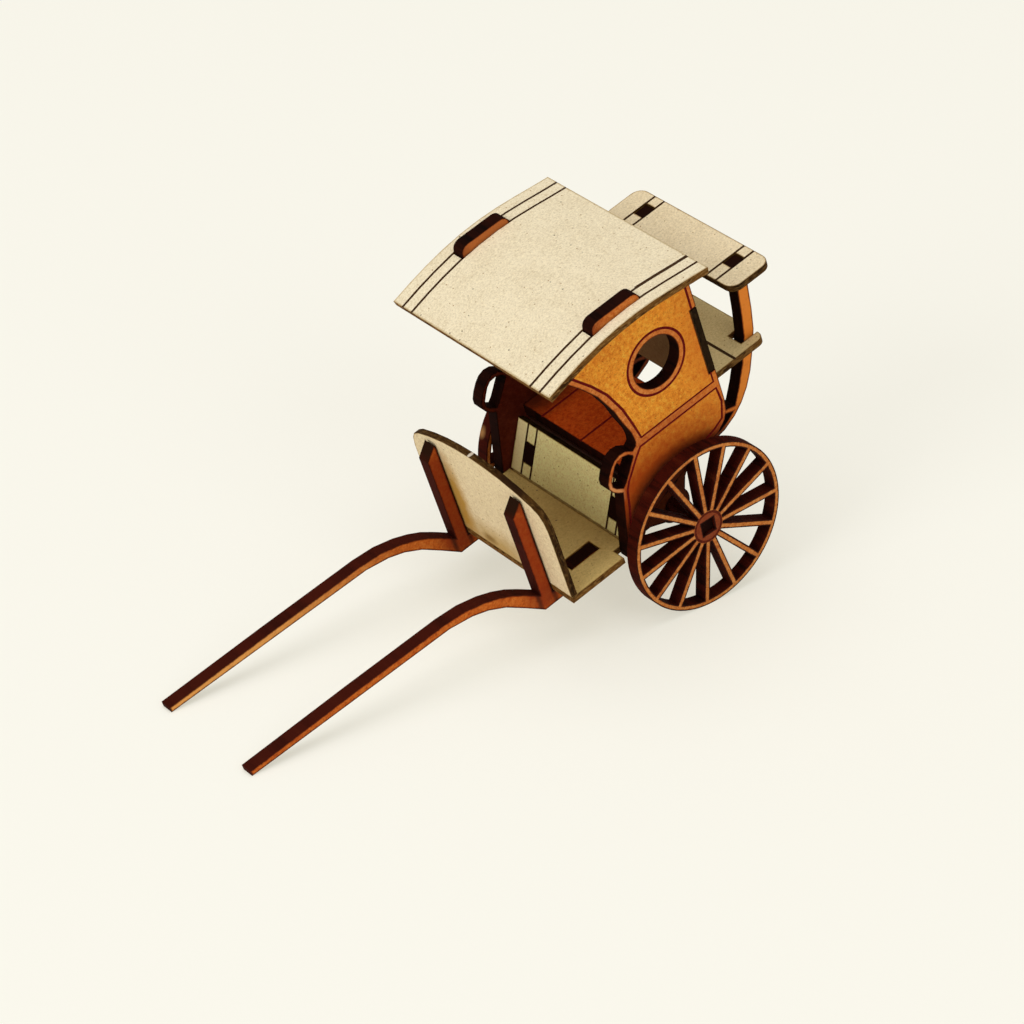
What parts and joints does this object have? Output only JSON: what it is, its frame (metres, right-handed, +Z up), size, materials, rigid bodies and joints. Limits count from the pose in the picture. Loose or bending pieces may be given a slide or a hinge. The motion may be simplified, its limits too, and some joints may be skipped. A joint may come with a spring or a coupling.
{
  "type": "hansom cab model",
  "caption": "Flat-pack model of a two-wheeled hansom cab, resting on its wheels and shaft tips, with a rear driver's seat.",
  "frame": {"origin": "on the floor under the middle of the model's length and width", "axes": "+X towards the shaft tips, +Y to the cab's left, +Z up"},
  "size_m": [0.0872, 0.0354, 0.0528],
  "materials": {
    "frame_left": "matte",
    "frame_right": "matte",
    "side_panel_left": "matte",
    "side_panel_right": "matte",
    "seat_board": "matte",
    "wheel_left": "matte",
    "wheel_right": "matte",
    "axle": "matte",
    "floor": "matte",
    "dashboard": "matte",
    "seat_riser": "matte",
    "rear_wall": "matte",
    "roof": "matte",
    "driver_seat": "matte",
    "driver_footboard": "matte"
  },
  "bodies": {
    "cab": {"frame_left": "frame_left", "frame_right": "frame_right", "side_panel_left": "side_panel_left", "side_panel_right": "side_panel_right", "seat_board": "seat_board", "floor": "floor", "dashboard": "dashboard", "seat_riser": "seat_riser", "rear_wall": "rear_wall", "roof": "roof", "driver_seat": "driver_seat", "driver_footboard": "driver_footboard"},
    "wheelset": {"wheel_left": "wheel_left", "wheel_right": "wheel_right", "axle": "axle"}
  },
  "joints": [
    {"name": "wheelset_spin", "type": "hinge", "parent": "cab", "child": "wheelset", "pos_m": [-0.02861, 0, 0.01275], "axis": [0, 1, 0], "continuous": true}
  ]
}
